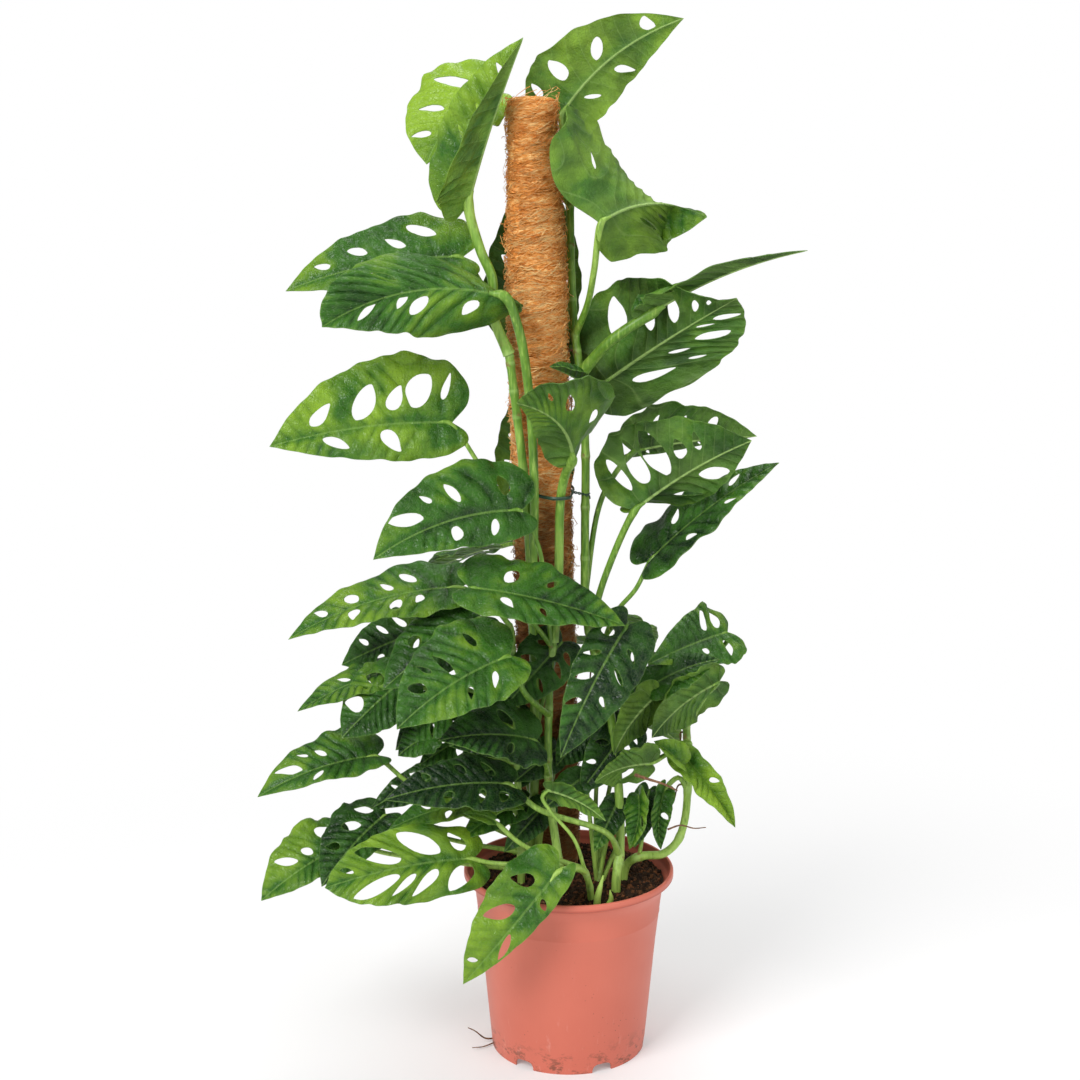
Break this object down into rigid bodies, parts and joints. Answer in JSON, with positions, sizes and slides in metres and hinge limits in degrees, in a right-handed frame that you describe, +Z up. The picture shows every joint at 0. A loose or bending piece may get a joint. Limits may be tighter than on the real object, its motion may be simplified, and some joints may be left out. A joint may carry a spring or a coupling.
{
  "type": "potted monstera obliqua plant",
  "caption": "Potted monstera obliqua: leafy stems with holed leaves climbing a coir pole in a terracotta-coloured nursery pot.",
  "frame": {"origin": "middle of the pot's base, on the surface it stands on", "axes": "+Z up the plant, +X to the right of the pictured view, +Y to its back"},
  "size_m": [0.4712, 0.3445, 0.9224],
  "materials": {
    "pot": "satin moulded plastic, terracotta colour",
    "soil": "damp fibrous potting mix",
    "stake": "plain softwood",
    "coir": "wound loose coconut fibre",
    "tie": "dark green plant tie",
    "leaf": "leathery leaf, semi-gloss above and paler below"
  },
  "bodies": {
    "root": {"pot": "pot", "soil": "soil", "pole_stake": "stake", "pole_coir": "coir", "tie": "tie", "stem_left_front": "leaf", "stem_behind": "leaf", "stem_front": "leaf", "stem_left": "leaf", "stem_low_front": "leaf", "stem_right_base": "leaf", "stem_back": "leaf"}
  },
  "joints": []
}
